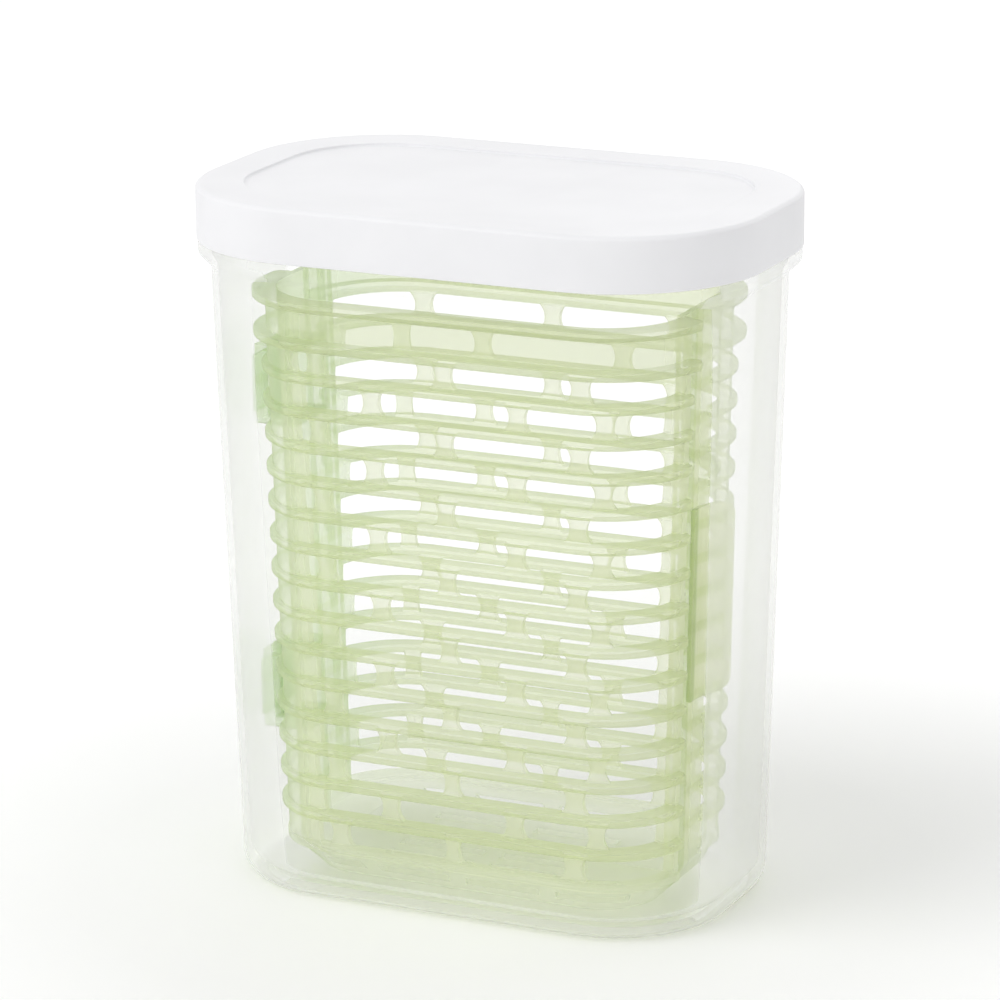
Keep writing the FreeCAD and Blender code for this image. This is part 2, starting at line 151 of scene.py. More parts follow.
# ---------------------------------------------------------------- container
# Insets are counted from the lid's outline
BODY_LOW = 8.3
BODY_HIGH = 4.3
BODY_TOP = 177.5
BODY_CORNER = 35.5
FOOT_INSET = 12.9
FOOT_EDGE = 0.15
FOOT_HEIGHT = 7.4
FOOT_CORNER = 29.6
INNER_LOW = 8.2
INSIDE_LOW = 10.3
INSIDE_HIGH = 6.3
INSIDE_CORNER = 33.5
INSIDE_FILLET = 3.8


def container_loops():
    """From the hollow under the foot, up the outside and round the neck, down the inside to its floor."""
    loops = [lid_loop(15.9, 2.2, 26.6), lid_loop(15.6, 2.0, 26.9), lid_loop(15.5, 0.4, 27.0),
             lid_loop(15.2, 0.05, 27.3), lid_loop(14.2, 0.0, 28.3), lid_loop(13.1, 0.0, 29.4)]
    steps = 9
    for step in range(steps + 1):
        angle = QUARTER * step / steps
        sweep = math.sin(angle)
        rise = 1 - math.cos(angle)
        inset = FOOT_INSET + (BODY_LOW - FOOT_INSET) * sweep
        corner = FOOT_CORNER + (BODY_CORNER - FOOT_CORNER) * sweep
        loops.append(lid_loop(inset, FOOT_EDGE + (FOOT_HEIGHT - FOOT_EDGE) * rise, corner))
    tall = 8
    for step in range(1, tall):
        t = step / tall
        level = FOOT_HEIGHT + (BODY_TOP - FOOT_HEIGHT) * t
        loops.append(lid_loop(BODY_LOW + (BODY_HIGH - BODY_LOW) * t, level, BODY_CORNER))
    collar = [(4.35, 176.4, 35.7), (4.1, 177.7, 35.9), (0.9, 180.4, 40.4), (0.42, 181.0, 40.9),
              (0.32, 181.6, 41.0), (0.32, 183.9, 41.0), (0.42, 184.2, 40.9), (0.7, 184.3, 40.6),
              (1.8, 184.3, 39.5), (2.1, 184.5, 39.2), (2.1, 194.5, 39.2), (2.3, 194.8, 39.0),
              (2.6, 194.9, 38.7), (3.6, 194.9, 37.7), (3.9, 194.8, 37.4), (4.1, 194.5, 37.2),
              (4.1, 181.2, 37.2), (4.2, 180.6, 37.0), (6.1, 177.8, 33.8), (6.3, 176.9, 33.5)]
    loops += [lid_loop(*entry) for entry in collar]
    for step in range(tall - 1, 0, -1):
        t = step / tall
        level = INNER_LOW + (BODY_TOP - INNER_LOW) * t
        loops.append(lid_loop(INSIDE_LOW + (INSIDE_HIGH - INSIDE_LOW) * t, level, INSIDE_CORNER))
    for step in range(7):
        angle = QUARTER * step / 6
        drawn_in = INSIDE_FILLET * (1 - math.cos(angle))
        loops.append(lid_loop(INSIDE_LOW + drawn_in, INNER_LOW - INSIDE_FILLET * math.sin(angle),
                              INSIDE_CORNER - drawn_in))
    return loops


# ---------------------------------------------------------------- lid
def lid_loops():
    """From the middle of the top panel, over the edge and under the skirt, to the underside."""
    edge = 0.45
    profile = [(16.0, 199.0), (14.3, 199.0), (13.5, 199.25), (13.5, 199.85), (13.2, 200.0), (1.2, 200.0),
               (0.0, 199.0), (0.0, 184.8), (0.2, 184.6), (1.6, 184.6), (1.8, 184.8), (1.8, 196.8),
               (4.6, 196.8), (4.6, 195.2), (6.0, 195.2), (6.0, 196.8), (10.0, 196.8)]
    return [lid_loop(inset, level) for inset, level in rounded(profile, edge)]


# ---------------------------------------------------------------- basket
def draft(level):
    return DRAFT_SLOPE * (REFERENCE_LEVEL - level)


def fin_level(index):
    return RIM_LEVEL if index == 0 else RIM_LEVEL - BAND_PITCH - FIN_PITCH * (index - 1)


def beside_seam(distance):
    """Place along the wall at a distance from the seam."""
    return S_SIDE + STRAIGHT_Y - distance


S_SIDE = STRAIGHT_X + PATH_CORNER * QUARTER
S_SEAM = beside_seam(SEAM)
S_SWELL = beside_seam(13.7)
S_COLUMN = (46.6, 68.3)

# How far windows and posts are drawn in with the draft, as (place along the wall, share)
DRIFT = ((0, 0.0), (15, 1.0), (55, 1.0), (63, 0.0))
DRIFT_BESIDE_COLUMN = ((0, 0.0), (15, 1.0), (45.9, 1.0), (46.4, 0.35), (55, 0.35), (63, 0.0))

# Windows of the two kinds of row, as (left, right) along the wall at mid height
FRONT_ODD = ((-45.5, -40.4), (-36.0, -2.2), (2.2, 37.2), (41.6, 68.8))
FRONT_EVEN = ((-43.1, -24.2), (-19.8, 19.8), (24.2, 43.7), (48.1, 63.7))
BACK_ODD = ((-68.8, -41.6), (-37.2, -2.2), (2.2, 36.0), (40.4, 57.5), (67.5, beside_seam(8)))
BACK_EVEN = ((-63.7, -48.1), (-43.7, -24.2), (-19.8, 19.8), (24.2, 43.1), (47.9, 57.5),
             (67.5, beside_seam(8)))
POSTS_FLARE_BETWEEN = (-43, 50)

# Where the fins end, as distances from the seam
FIN_END_AT_SWELL = 15.0
FIN_END_AT_COLUMN = 6.5

# Base
BEVEL_TOP = 10.6
BEVEL_LOW = 5.5
FLOOR_LOW = 4.7
FLOOR_TOP = 6.7
BASE_ENDS = {-1: 48.8, 1: 54.6}
BASE_HALF_DEPTH = 32.3
BASE_CORNER = 17.0
BOTTOM_EDGE_INSET = 0.5
BOTTOM_EDGE_RISE = 0.6
SLOT_LOW = 7.0
SLOT_HIGH = 9.0
SLOTS = ((-40.0, -28.0), (-23.0, -1.5), (3.5, 26.0), (31.0, 51.0))
FLOOR_SLOT_X = (-15.6, 15.6)
FLOOR_SLOT_Y = (-7.2, -16.2)
FLOOR_SLOT_HALF = (13.0, 2.0)


def between(value, stops):
    """Piecewise straight line through (place, height) stops."""
    for (x0, y0), (x1, y1) in zip(stops, stops[1:]):
        if value <= x1:
            return y0 + (y1 - y0) * (value - x0) / (x1 - x0)
    return stops[-1][1]


def plain_xy(distance, shift):
    """Point of the wall a distance from the middle, moved outwards by shift."""
    radius = BASKET_CORNER + shift
    if distance <= STRAIGHT_X:
        return distance, -BASKET_HALF[1] - shift
    angle = (distance - STRAIGHT_X) / PATH_CORNER
    if angle <= QUARTER:
        return STRAIGHT_X + radius * math.sin(angle), -STRAIGHT_Y - radius * math.cos(angle)
    return BASKET_HALF[0] + shift, distance - S_SIDE - STRAIGHT_Y


def swelled_xy(distance, shift):
    """The same for the end of the wall that stands further out."""
    radius = BASKET_CORNER + SWELL_CORNER + shift
    centre_x = STRAIGHT_X + SWELL - SWELL_CORNER
    run_out = 8.0
    if distance <= STRAIGHT_X:
        ease = max(0.0, 1 - (STRAIGHT_X - distance) / run_out)
        return distance + ease * (centre_x - STRAIGHT_X), -BASKET_HALF[1] - shift
    angle = (distance - STRAIGHT_X) / PATH_CORNER
    if angle <= QUARTER:
        angle *= math.acos(SWELL_CORNER / radius) / QUARTER
        return centre_x + radius * math.sin(angle), SWELL_CORNER - STRAIGHT_Y - radius * math.cos(angle)
    return BASKET_HALF[0] + SWELL + shift, distance - S_SIDE - STRAIGHT_Y


def base_xy(s, offset):
    """Point of the base's low outline, moved inwards by an offset, for a place along the wall."""
    side = math.copysign(1, s)
    distance = abs(s)
    end = BASE_ENDS[side]
    straight_y = BASE_HALF_DEPTH - BASE_CORNER
    if distance <= STRAIGHT_X:
        return s * (end - BASE_CORNER) / STRAIGHT_X, offset - BASE_HALF_DEPTH
    angle = (distance - STRAIGHT_X) / PATH_CORNER
    if angle <= QUARTER:
        radius = BASE_CORNER - offset
        return side * (end - BASE_CORNER + radius * math.sin(angle)), -straight_y - radius * math.cos(angle)
    past = (distance - S_SIDE) / (STRAIGHT_Y - SEAM)
    return side * (end - offset), past * (straight_y - SEAM) - straight_y


def flare(edge):
    """How far a window's edge has come in at the top and bottom of its row."""
    return POST_FLARE if POSTS_FLARE_BETWEEN[0] <= edge <= POSTS_FLARE_BETWEEN[1] else CORNER_POST_FLARE


class Builder:
    """Mesh under construction, in which points at one place become one vertex."""

    def __init__(self):
        self.verts = []
        self.faces = []
        self.index = {}

    def vert(self, point):
        key = tuple(round(c, 4) for c in point)
        if key not in self.index:
            self.index[key] = len(self.verts)
            self.verts.append(point)
        return self.index[key]

    def face(self, points):
        ids = []
        for point in points:
            i = self.vert(point)
            if i not in ids:
                ids.append(i)
        if len(ids) > 2:
            self.faces.append(tuple(ids))

    def strip(self, line, other):
        """Faces between two lines of points."""
        for a0, a1, b1, b0 in zip(line, line[1:], other[1:], other):
            self.face([a0, a1, b1, b0])


class Half(Builder):
    """Half of the basket, drawn at the front. Its wall is a path: s runs along it from the middle and off
    is outwards. One end's corner swells out and the other end's carries a column."""

    def __init__(self, swell_side, odd_windows, even_windows, column_drift):
        super().__init__()
        self.swell_side = swell_side
        self.drift = {swell_side: DRIFT, -swell_side: column_drift}
        self.fin_end = {swell_side: beside_seam(FIN_END_AT_SWELL),
                        -swell_side: beside_seam(FIN_END_AT_COLUMN)}
        self.rows = [[(-S_SEAM, S_SEAM, 0.0, 0.0)]]
        for row in range(1, FIN_COUNT):
            self.rows.append(self.row_solids(odd_windows if row % 2 else even_windows))
        self.slots = [(self.s_at(x0), self.s_at(x1)) for x0, x1 in SLOTS]
        self.samples = self.path_samples(odd_windows + even_windows)
        for index in range(FIN_COUNT + 1):
            self.add_fin(index)
        for row, solids in enumerate(self.rows):
            self.add_row(fin_level(row) - FIN_HALF, fin_level(row + 1) + FIN_HALF, solids)
        self.add_base()
        self.add_floor()

    def swells(self, s):
        return s * self.swell_side > 0 and abs(s) < S_SWELL

    def raised(self, s):
        """Outward offset of the wall: the column at the end that doesn't swell."""
        return COLUMN_RISE if s * self.swell_side < 0 and S_COLUMN[0] < abs(s) < S_COLUMN[1] else 0.0

    def drifted(self, s, level):
        side = math.copysign(1, s)
        return s - side * draft(level) * between(abs(s), self.drift[side])

    def point(self, s, level, off=0.0, swell=True):
        moved = self.drifted(s, level)
        outline = swelled_xy if swell and self.swells(s) else plain_xy
        x, y = outline(abs(moved), off - draft(level))
        return (math.copysign(x, s), y, level)

    def inner(self, s, level):
        """Point of the wall's inner face; the wall is thicker where it swells."""
        thick = WALL
        if self.swells(s):
            round_corner = (abs(s) - STRAIGHT_X) / (PATH_CORNER * QUARTER)
            thick += (SWELL_WALL - WALL) * min(1.0, max(0.0, round_corner))
        return self.point(s, level, -thick)

    def base_point(self, s, level, offset, low):
        """Point of the bevelled base: the wall's outline at its top, the low outline at its bottom."""
        if level >= BEVEL_TOP:
            return self.point(s, level, -offset, swell=False)
        t = min(1.0, (BEVEL_TOP - level) / (BEVEL_TOP - low))
        x0, y0, _ = self.point(s, BEVEL_TOP, -offset, swell=False)
        x1, y1 = base_xy(self.drifted(s, BEVEL_TOP), offset)
        return (x0 + (x1 - x0) * t, y0 + (y1 - y0) * t, level)

    def base_out(self, s, level):
        """Outer face of the base; its bottom edge is broken."""
        return self.base_point(s, level, BOTTOM_EDGE_INSET if level == FLOOR_LOW else 0.0, BEVEL_LOW)

    def base_in(self, s, level):
        return self.base_point(s, level, WALL, FLOOR_TOP)

    def s_at(self, x):
        """Place along the wall where the base's slots reach a given x."""
        low, high = -S_SIDE, S_SIDE
        for _ in range(40):
            middle = (low + high) / 2
            if self.base_out(middle, (SLOT_LOW + SLOT_HIGH) / 2)[0] < x:
                low = middle
            else:
                high = middle
        return low

    def path_samples(self, windows):
        """Places along the wall that the mesh has vertices at: each edge there is, and steps between."""
        step_half = 0.2
        closest = 0.35
        corner_steps = 15
        end_steps = 5
        fixed = {-S_SEAM, S_SEAM}
        for left, right in windows:
            fixed |= {left + flare(left), right - flare(right)}
        for edge in S_COLUMN:
            fixed |= {-self.swell_side * (edge - step_half), -self.swell_side * (edge + step_half)}
        fixed |= {self.swell_side * (S_SWELL - step_half), self.swell_side * (S_SWELL + 0.02)}
        for side, end in self.fin_end.items():
            fixed.add(side * end)
        for slot in self.slots:
            fixed |= set(slot)
        loose = {beside_seam(3.0), -beside_seam(3.0)}
        for side in (-1, 1):
            for step in range(1, end_steps + 1):
                in_from_end = FIN_END_ROUND * (1 - math.cos(QUARTER * step / end_steps))
                loose.add(side * (self.fin_end[side] - in_from_end))
            for step in range(corner_steps + 1):
                loose.add(side * (STRAIGHT_X + PATH_CORNER * QUARTER * step / corner_steps))
        kept = sorted(fixed)
        for s in sorted(loose):
            if min(abs(s - f) for f in kept) > closest:
                kept.append(s)
        return sorted(kept)

    def row_solids(self, windows):
        """Solid stretches of a row as (start, end, start moves, end moves) at the row's top edge."""
        solids = []
        start, start_moves = -S_SEAM, 0.0
        for left, right in windows:
            solids.append((start, left + flare(left), start_moves, flare(left)))
            start, start_moves = right - flare(right), flare(right)
        solids.append((start, S_SEAM, start_moves, 0.0))
        return solids

    def is_open(self, row, s):
        if row < 0:
            return True
        if row >= FIN_COUNT:
            return False
        return not any(start < s < end for start, end, _, _ in self.rows[row])

    def fin_reach(self, index, s):
        reach = BAND_REACH if index < 2 else LOWEST_FIN_REACH if index == FIN_COUNT else FIN_REACH
        corner = min(FIN_END_ROUND, 0.9 * reach)
        left = self.fin_end[math.copysign(1, s)] - abs(s)
        if left < corner:
            across = corner - max(left, 0)
            reach = reach - corner + math.sqrt(max(corner * corner - across * across, 0))
        return reach

    def fin_profile(self, index, s):
        """From the wall's outer face at the fin's top, round its edge, to its underside."""
        level = fin_level(index)
        base = self.raised(s)
        tip = max(self.fin_reach(index, s), base + 0.3)
        edge = min(FIN_EDGE, (tip - base) * 0.5)
        profile = [(base, level + FIN_HALF), (tip - edge, level + FIN_HALF)]
        for step in range(1, 4):
            a = QUARTER * step / 3
            profile.append((tip - edge + edge * math.sin(a), level + FIN_HALF - edge + edge * math.cos(a)))
        for step in range(3):
            a = QUARTER * (1 - step / 3)
            profile.append((tip - edge + edge * math.sin(a), level - FIN_HALF + edge - edge * math.cos(a)))
        profile += [(tip - edge, level - FIN_HALF), (base, level - FIN_HALF)]
        return [self.point(s, z, off) for off, z in profile]

    def add_fin(self, index):
        top = fin_level(index) + FIN_HALF
        bottom = fin_level(index) - FIN_HALF
        for s0, s1 in zip(self.samples, self.samples[1:]):
            middle = (s0 + s1) / 2
            self.strip([self.inner(s0, top), self.inner(s1, top)],
                       [self.inner(s0, bottom), self.inner(s1, bottom)])
            for row, z in ((index - 1, top), (index, bottom)):
                if self.is_open(row, middle):
                    self.face([self.inner(s0, z), self.inner(s1, z), self.point(s1, z, self.raised(s1)),
                               self.point(s0, z, self.raised(s0))])
            if abs(middle) < self.fin_end[math.copysign(1, middle)]:
                self.strip(self.fin_profile(index, s0), self.fin_profile(index, s1))
            else:
                self.strip([self.point(s0, top), self.point(s1, top)],
                           [self.point(s0, bottom), self.point(s1, bottom)])
        for side, end in self.fin_end.items():
            self.face(self.fin_profile(index, side * end))
        for s in (-S_SEAM, S_SEAM):
            self.face([self.inner(s, top), self.point(s, top), self.point(s, bottom), self.inner(s, bottom)])

    def add_row(self, top, bottom, solids):
        """Posts of a row; beside a window a post is waisted."""
        waisted_levels = 7
        middle = (top + bottom) / 2
        half = (top - bottom) / 2
        waist = math.sqrt(1 - POST_ARC ** 2)
        for start, end, start_moves, end_moves in solids:
            columns = [s for s in self.samples if start - 1e-6 <= s <= end + 1e-6]
            blend = min(POST_BLEND, (end - start) / 2)
            count = waisted_levels if start_moves or end_moves else 2
            outer, inner = [], []
            for row in range(count):
                z = top + (bottom - top) * row / (count - 1)
                bulge = math.sqrt(1 - (POST_ARC * (z - middle) / half) ** 2)
                spread = (bulge - waist) / (1 - waist)
                line = []
                for s in columns:
                    near_start = max(0.0, 1 - (s - start) / blend)
                    near_end = max(0.0, 1 - (end - s) / blend)
                    line.append(s + spread * (start_moves * near_start - end_moves * near_end))
                outer.append([self.point(moved, z, self.raised(s)) for s, moved in zip(columns, line)])
                inner.append([self.inner(moved, z) for moved in line])
            for grid in (outer, inner):
                for line, other in zip(grid, grid[1:]):
                    self.strip(line, other)
            for end_of_row in (0, -1):
                self.strip([line[end_of_row] for line in outer], [line[end_of_row] for line in inner])

    def add_base(self):
        """Bevelled base under the lowest fin: plain strip, slotted strip, plain strip and lip."""
        start = fin_level(FIN_COUNT) - FIN_HALF
        outer_levels = [start, BEVEL_TOP, SLOT_HIGH, SLOT_LOW, BEVEL_LOW, FLOOR_LOW + BOTTOM_EDGE_RISE,
                        FLOOR_LOW]
        inner_levels = [start, BEVEL_TOP, SLOT_HIGH, SLOT_LOW, FLOOR_TOP]
        for s0, s1 in zip(self.samples, self.samples[1:]):
            middle = (s0 + s1) / 2
            slotted = any(left < middle < right for left, right in self.slots)
            self.strip([self.base_out(s0, start), self.base_out(s1, start)],
                       [self.point(s0, start, self.raised(s0)), self.point(s1, start, self.raised(s1))])
            self.face([self.base_in(s0, start), self.base_in(s1, start), self.inner(s1, start),
                       self.inner(s0, start)])
            for surface, levels in ((self.base_out, outer_levels), (self.base_in, inner_levels)):
                for z0, z1 in zip(levels, levels[1:]):
                    if not (slotted and z0 == SLOT_HIGH):
                        self.face([surface(s0, z0), surface(s1, z0), surface(s1, z1), surface(s0, z1)])
            if slotted:
                for z in (SLOT_HIGH, SLOT_LOW):
                    self.strip([self.base_out(s0, z), self.base_out(s1, z)],
                               [self.base_in(s0, z), self.base_in(s1, z)])
        ends = [s for slot in self.slots for s in slot]
        for s in ends + [-S_SEAM, S_SEAM]:
            levels = outer_levels[2:4] if s in ends else outer_levels[:4]
            self.strip([self.base_out(s, z) for z in levels], [self.base_in(s, z) for z in levels])
        section = [self.base_out(-S_SEAM, z) for z in outer_levels[3:]]
        section += [self.base_out(S_SEAM, z) for z in outer_levels[:2:-1]]
        section += [self.base_in(S_SEAM, SLOT_LOW), self.base_in(S_SEAM, FLOOR_TOP)]
        section += [self.base_in(-S_SEAM, FLOOR_TOP), self.base_in(-S_SEAM, SLOT_LOW)]
        self.face(section)

    def add_floor(self):
        """Floor plate with four slots through it."""
        slots = []
        dx, dy = FLOOR_SLOT_HALF
        for x in FLOOR_SLOT_X:
            for y in FLOOR_SLOT_Y:
                slots.append([(x - dx, y - dy), (x + dx, y - dy), (x + dx, y + dy), (x - dx, y + dy)])
        for surface, level in ((self.base_in, FLOOR_TOP), (self.base_out, FLOOR_LOW)):
            work = bmesh.new()
            edges = []
            for ring in [[surface(s, level)[:2] for s in self.samples]] + slots:
                corners = [work.verts.new((x, y, level)) for x, y in ring]
                edges += [work.edges.new(pair) for pair in zip(corners, corners[1:] + corners[:1])]
            bmesh.ops.triangle_fill(work, use_beauty=True, edges=edges)
            for face in work.faces:
                self.face([tuple(corner.co) for corner in face.verts])
            work.free()
        for ring in slots:
            for here, there in zip(ring, ring[1:] + ring[:1]):
                self.face([(*here, FLOOR_TOP), (*there, FLOOR_TOP), (*there, FLOOR_LOW), (*here, FLOOR_LOW)])


def make_half(name, swell_side, odd_windows, even_windows, column_drift):
    half = Half(swell_side, odd_windows, even_windows, column_drift)
    return new_object(name, half.verts, half.faces, 30)


# ---------------------------------------------------------------- small parts of the basket
HINGE_AXIS_X = -69.8
HINGES = {"upper": (138.3, 71.6), "lower": (48.3, 71.0)}  # (level of its middle, its reach from x = 0)
HINGE_HALF_HEIGHT = 11.5
HINGE_DEPTHS = (2.1, 10.0)
HINGE_ROOT = 1.2
HINGE_PLATE = 1.8
HINGE_RIDGE = 0.8
HINGE_RIDGE_HALF = 8.2
HINGE_RIDGE_ROOT = 0.2
KNUCKLE_RADIUS = 1.8
KNUCKLE_GAP = 0.3
KNUCKLE_WEB = (1.2, 2.5)
BORE_RADIUS = 0.96
LATCH_THICK = 1.3
LATCH_LEVELS = (59.5, 114.8)
LATCH_CORNER = 4.0
LATCH_STANDOFF = 0.3
LATCH_LEAN = 5.6
LATCH_CURVE = 1.35
GUSSET_FINS = (5, 13)
GUSSET_LEG = 20.5
GUSSET_HALF_THICK = 0.8
GUSSET_INSET = 1.0
CATCH_LEVELS = (79.0, 95.0)
CATCH_RADIUS = 1.2
CATCH_BORE = 0.2
CATCH_Y = 1.9


def merge_parts(name, parts):
    """One object from closed parts given as (verts, faces)."""
    verts = []
    faces = []
    for part_verts, part_faces in parts:
        start = len(verts)
        verts += part_verts
        faces += [tuple(start + i for i in face) for face in part_faces]
    return new_object(name, verts, faces)


def prism_part(outline, low, high, edge=0.3, axis="z"):
    """Closed prism over a plan outline, its end edges broken by a small bevel."""
    count = len(outline)
    rings = []
    for shrink, level in ((edge, low), (0.0, low + edge), (0.0, high - edge), (edge, high)):
        ring = []
        for i, (x, y) in enumerate(outline):
            before = Vector(outline[i - 1]) - Vector((x, y))
            after = Vector(outline[(i + 1) % count]) - Vector((x, y))
            inward = before.normalized() + after.normalized()
            cross = before.x * after.y - before.y * after.x
            if cross > 0:
                inward = -inward
            move = inward.normalized() * shrink if inward.length > 1e-4 else Vector((0, 0))
            u, v = x + move.x, y + move.y
            ring.append({"z": (u, v, level), "y": (u, level, v), "x": (level, u, v)}[axis])
        rings.append(ring)
    verts = [point for ring in rings for point in ring]
    faces = []
    for r in range(3):
        for i in range(count):
            j = (i + 1) % count
            faces.append((r * count + i, r * count + j, (r + 1) * count + j, (r + 1) * count + i))
    faces += [tuple(range(count)), tuple(range(3 * count, 4 * count))]
    return verts, faces


def tube_part(x, y, low, high, radius, bore, steps=24):
    """Closed upright tube with its outer edges broken."""
    rings = [(bore, low + 0.1), (radius - 0.25, low), (radius, low + 0.25), (radius, high - 0.25),
             (radius - 0.25, high), (bore, high - 0.1)]
    verts = []
    faces = []
    for r, z in rings:
        for i in range(steps):
            a = 2 * math.pi * i / steps
            verts.append((x + r * math.cos(a), y + r * math.sin(a), z))
    for k in range(len(rings)):
        n = (k + 1) % len(rings)
        for i in range(steps):
            j = (i + 1) % steps
            faces.append((k * steps + i, k * steps + j, n * steps + j, n * steps + i))
    return verts, faces


def box_outline(x0, x1, y0, y1):
    return [(x0, y0), (x1, y0), (x1, y1), (x0, y1)]


def make_bracket(name, side):
    """Channel-shaped bracket with an outer ridge; two knuckles on the front half, one on the back half."""
    level, reach = HINGES[name]
    low = level - HINGE_HALF_HEIGHT
    high = level + HINGE_HALF_HEIGHT
    wall_x = BASKET_HALF[0] - draft(level) - HINGE_ROOT
    near, far = sorted(side * depth for depth in HINGE_DEPTHS)
    plate = HINGE_PLATE
    outline = [(-reach, low), (-wall_x, low), (-wall_x, low + plate), (-reach + plate, low + plate),
               (-reach + plate, high - plate), (-wall_x, high - plate), (-wall_x, high), (-reach, high)]
    parts = [prism_part(outline, near, far, axis="y")]
    ridge = box_outline(-reach - HINGE_RIDGE, -reach + HINGE_RIDGE_ROOT,
                        level - HINGE_RIDGE_HALF, level + HINGE_RIDGE_HALF)
    parts.append(prism_part(ridge, near, far, 0.25, "y"))
    quarter = HINGE_HALF_HEIGHT / 2
    if side < 0:
        spans = [(low, low + quarter - KNUCKLE_GAP), (high - quarter + KNUCKLE_GAP, high)]
    else:
        spans = [(low + quarter, high - quarter)]
    y0, y1 = sorted(side * depth for depth in KNUCKLE_WEB)
    web = box_outline(HINGE_AXIS_X - KNUCKLE_RADIUS, HINGE_AXIS_X + KNUCKLE_RADIUS, y0, y1)
    for z0, z1 in spans:
        parts.append(tube_part(HINGE_AXIS_X, 0.0, z0, z1, KNUCKLE_RADIUS, BORE_RADIUS))
        parts.append(prism_part(web, z0, z1, 0.2))
    return merge_parts("hinge_bracket_%s_%s" % ("front" if side < 0 else "back", name), parts)


def make_latch():
    """Thin tab that springs over the back half's catch: flat at its root, then leaning outwards."""
    root, bend, tip = -5.6, -2.0, 10.8
    low, high = LATCH_LEVELS
    corner = LATCH_CORNER
    thick = LATCH_THICK
    rows, cols = 40, 16
    front_grid, back_grid = [], []
    for r in range(rows + 1):
        z = low + (high - low) * r / rows
        edge_gap = min(z - low, high - z)
        if edge_gap < corner:
            cut = corner - math.sqrt(max(0.0, corner ** 2 - (corner - edge_gap) ** 2))
        else:
            cut = 0.0
        line_f, line_b = [], []
        for c in range(cols + 1):
            y = root + (tip - cut - root) * c / cols
            t = max(0.0, (y - bend) / (tip - bend))
            rise = LATCH_LEAN * t ** LATCH_CURVE
            slope = LATCH_LEAN * LATCH_CURVE * t ** (LATCH_CURVE - 1) / (tip - bend) if t > 0 else 0.0
            length = math.hypot(1.0, slope)
            x = BASKET_HALF[0] - draft(z) + LATCH_STANDOFF + rise
            line_b.append((x, y, z))
            line_f.append((x + thick / length, y - thick * slope / length, z))
        front_grid.append(line_f)
        back_grid.append(line_b)
    b = Builder()
    for r in range(rows):
        for c in range(cols):
            for grid in (front_grid, back_grid):
                b.face([grid[r][c], grid[r][c + 1], grid[r + 1][c + 1], grid[r + 1][c]])
        for c in (0, cols):
            b.face([front_grid[r][c], back_grid[r][c], back_grid[r + 1][c], front_grid[r + 1][c]])
    for r in (0, rows):
        for c in range(cols):
            b.face([front_grid[r][c], front_grid[r][c + 1], back_grid[r][c + 1], back_grid[r][c]])
    return new_object("latch_tab", b.verts, b.faces, 50)


def make_gusset(index):
    """Flat web across the back half's corner, level with a fin."""
    level = fin_level(index)
    half_x = BASKET_HALF[0] - draft(level) - GUSSET_INSET
    half_y = BASKET_HALF[1] - draft(level) - GUSSET_INSET
    radius = BASKET_CORNER - draft(level) - GUSSET_INSET
    leg = GUSSET_LEG
    outline = []
    for step in range(13):
        a = QUARTER * step / 12
        x = half_x - radius + radius * math.cos(a)
        y = half_y - radius + radius * math.sin(a)
        if (half_x - x) + (half_y - y) < leg:
            outline.append((x, y))
    outline = [(half_x, half_y - leg)] * (half_y - leg < outline[0][1] - 0.3) + outline
    outline += [(half_x - leg, half_y)] * (half_x - leg < outline[-1][0] - 0.3)
    web = prism_part(outline, level - GUSSET_HALF_THICK, level + GUSSET_HALF_THICK, 0.2)
    return merge_parts("gusset_%d" % index, [web])


def make_catch():
    """Bead on the back half that the latch springs over."""
    low, high = CATCH_LEVELS
    x = BASKET_HALF[0] - draft((low + high) / 2)
    return merge_parts("catch_bead", [tube_part(x, CATCH_Y, low, high, CATCH_RADIUS, CATCH_BORE, 16)])


def place(obj, body, slot, material, *replaced):
    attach(obj, body)
    if replaced:
        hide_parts(*replaced)
    obj.data.materials.clear()
    obj.data.materials.append(material)


# ---------------------------------------------------------------- materials
def material(name):
    m = bpy.data.materials.new(name)
    m.use_nodes = True
    tree = m.node_tree
    tree.nodes.clear()
    output = tree.nodes.new("ShaderNodeOutputMaterial")
    return m, tree, output


def node(tree, kind, inputs=(), **settings):
    """New node with its inputs set or linked; of several inputs with one name, the one in use is meant."""
    n = tree.nodes.new(kind)
    for key, value in settings.items():
        setattr(n, key, value)
    for key, value in dict(inputs).items():
        if isinstance(key, int):
            socket = n.inputs[key]
        else:
            socket = next(s for s in n.inputs if s.name == key and s.enabled)
        if isinstance(value, bpy.types.NodeSocket):
            tree.links.new(value, socket)
        else:
            socket.default_value = value
    return n


def color_mix(tree, factor, first, second):
    n = node(tree, "ShaderNodeMix", {"Factor": factor, "A": first, "B": second}, data_type="RGBA")
    return next(s for s in n.outputs if s.name == "Result" and s.enabled)


def srgb(r, g, b):
    def linear(c):
        c /= 255
        return c / 12.92 if c <= 0.04045 else ((c + 0.055) / 1.055) ** 2.4
    return (linear(r), linear(g), linear(b), 1.0)


def ramp(tree, value, stops):
    n = node(tree, "ShaderNodeValToRGB", {"Fac": value})
    elements = n.color_ramp.elements
    while len(elements) < len(stops):
        elements.new(0.5)
    for element, (position, color) in zip(elements, stops):
        element.position = position
        element.color = color
    return n.outputs["Color"]


def object_coords(tree):
    return node(tree, "ShaderNodeTexCoord").outputs["Object"]


def mapped(tree, value, low, high, out_low, out_high):
    """The value's range low to high turned into out_low to out_high, and held at those ends."""
    n = node(tree, "ShaderNodeMapRange", {"Value": value, "From Min": low, "From Max": high,
                                          "To Min": out_low, "To Max": out_high}, clamp=True)
    return n.outputs["Result"]


def math_node(tree, operation, first, second=0.0):
    return node(tree, "ShaderNodeMath", {0: first, 1: second}, operation=operation).outputs[0]


